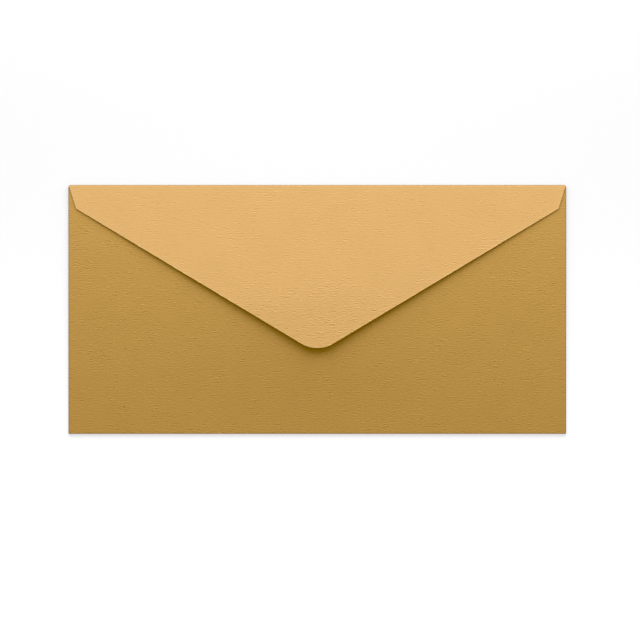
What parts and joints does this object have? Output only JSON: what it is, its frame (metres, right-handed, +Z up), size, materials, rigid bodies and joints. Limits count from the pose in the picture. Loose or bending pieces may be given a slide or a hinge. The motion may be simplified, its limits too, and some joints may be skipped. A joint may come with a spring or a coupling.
{
  "type": "envelope",
  "caption": "Long wallet envelope of textured paper with a deep pointed flap folded over its back, glued at the side seams, empty and unsealed.",
  "frame": {"origin": "middle of the flat outer face of the front panel, which lies on the table", "axes": "+X along the long side, +Y towards the flap's crease, +Z up, out of the back that carries the flap"},
  "size_m": [0.22, 0.11, 0.0042],
  "materials": {
    "panel_paper": "embossed felt texture, matt, brown ochre",
    "flap_paper": "embossed felt texture, matt, light ochre",
    "seam_gum": "dried adhesive line",
    "seal_gum": "dried remoistenable gum, slightly glossy"
  },
  "bodies": {
    "pocket": {"front_panel": "panel_paper", "back_panel": "panel_paper", "side_flap_left": "panel_paper", "side_flap_right": "panel_paper", "fold_bottom": "panel_paper", "fold_left": "panel_paper", "fold_right": "panel_paper", "fold_top": "flap_paper", "seam_gum_left": "seam_gum", "seam_gum_right": "seam_gum"},
    "flap": {"seal_flap": "flap_paper", "seal_gum": "seal_gum"}
  },
  "joints": [
    {"name": "flap_crease", "type": "hinge", "parent": "pocket", "child": "flap", "pos_m": [0, 0.05435, 0.00065], "axis": [-1, 0, 0], "range_deg": [0, 177.67], "deforming": ["fold_top"]}
  ]
}
